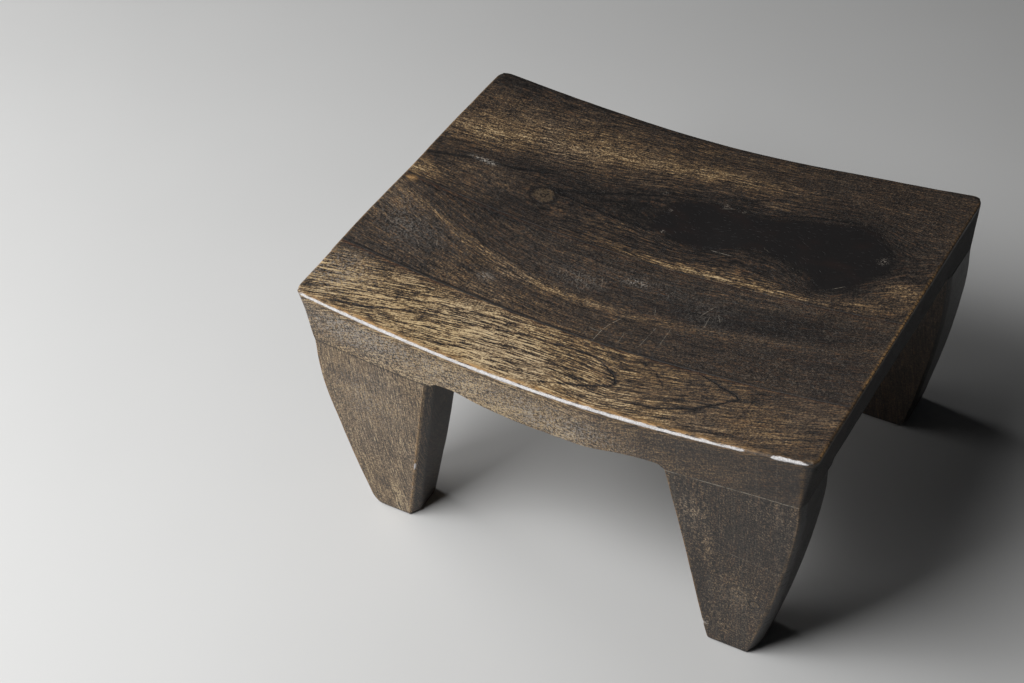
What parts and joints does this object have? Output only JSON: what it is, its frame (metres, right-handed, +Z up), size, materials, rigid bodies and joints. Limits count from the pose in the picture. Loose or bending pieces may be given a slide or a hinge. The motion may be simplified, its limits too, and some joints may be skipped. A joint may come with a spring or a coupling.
{
  "type": "low wooden stool",
  "caption": "Low solid wood stool: a thick seat hollowed along its length, on tapering corner legs that curve in to the floor.",
  "frame": {"origin": "on the floor, under the middle of the seat", "axes": "+X along the seat's length towards its right short end, +Y from the front long side to the rear long side, +Z up"},
  "size_m": [0.3986, 0.2964, 0.2093],
  "materials": {
    "front_board": "satin, brown stain, worn at the edges",
    "middle_board": "satin, dark brown stain",
    "rear_board": "satin, dark brown stain with a black knot",
    "leg": "satin, grey brown stain",
    "dowel": "bare wood"
  },
  "bodies": {
    "root": {"front_seat_board": "front_board", "middle_seat_board": "middle_board", "rear_seat_board": "rear_board", "front_left_leg": "leg", "front_right_leg": "leg", "rear_left_leg": "leg", "rear_right_leg": "leg", "front_left_inner_dowel": "dowel", "front_left_outer_dowel": "dowel", "front_right_inner_dowel": "dowel", "front_right_outer_dowel": "dowel", "rear_left_inner_dowel": "dowel", "rear_left_outer_dowel": "dowel", "rear_right_inner_dowel": "dowel", "rear_right_outer_dowel": "dowel"}
  },
  "joints": []
}
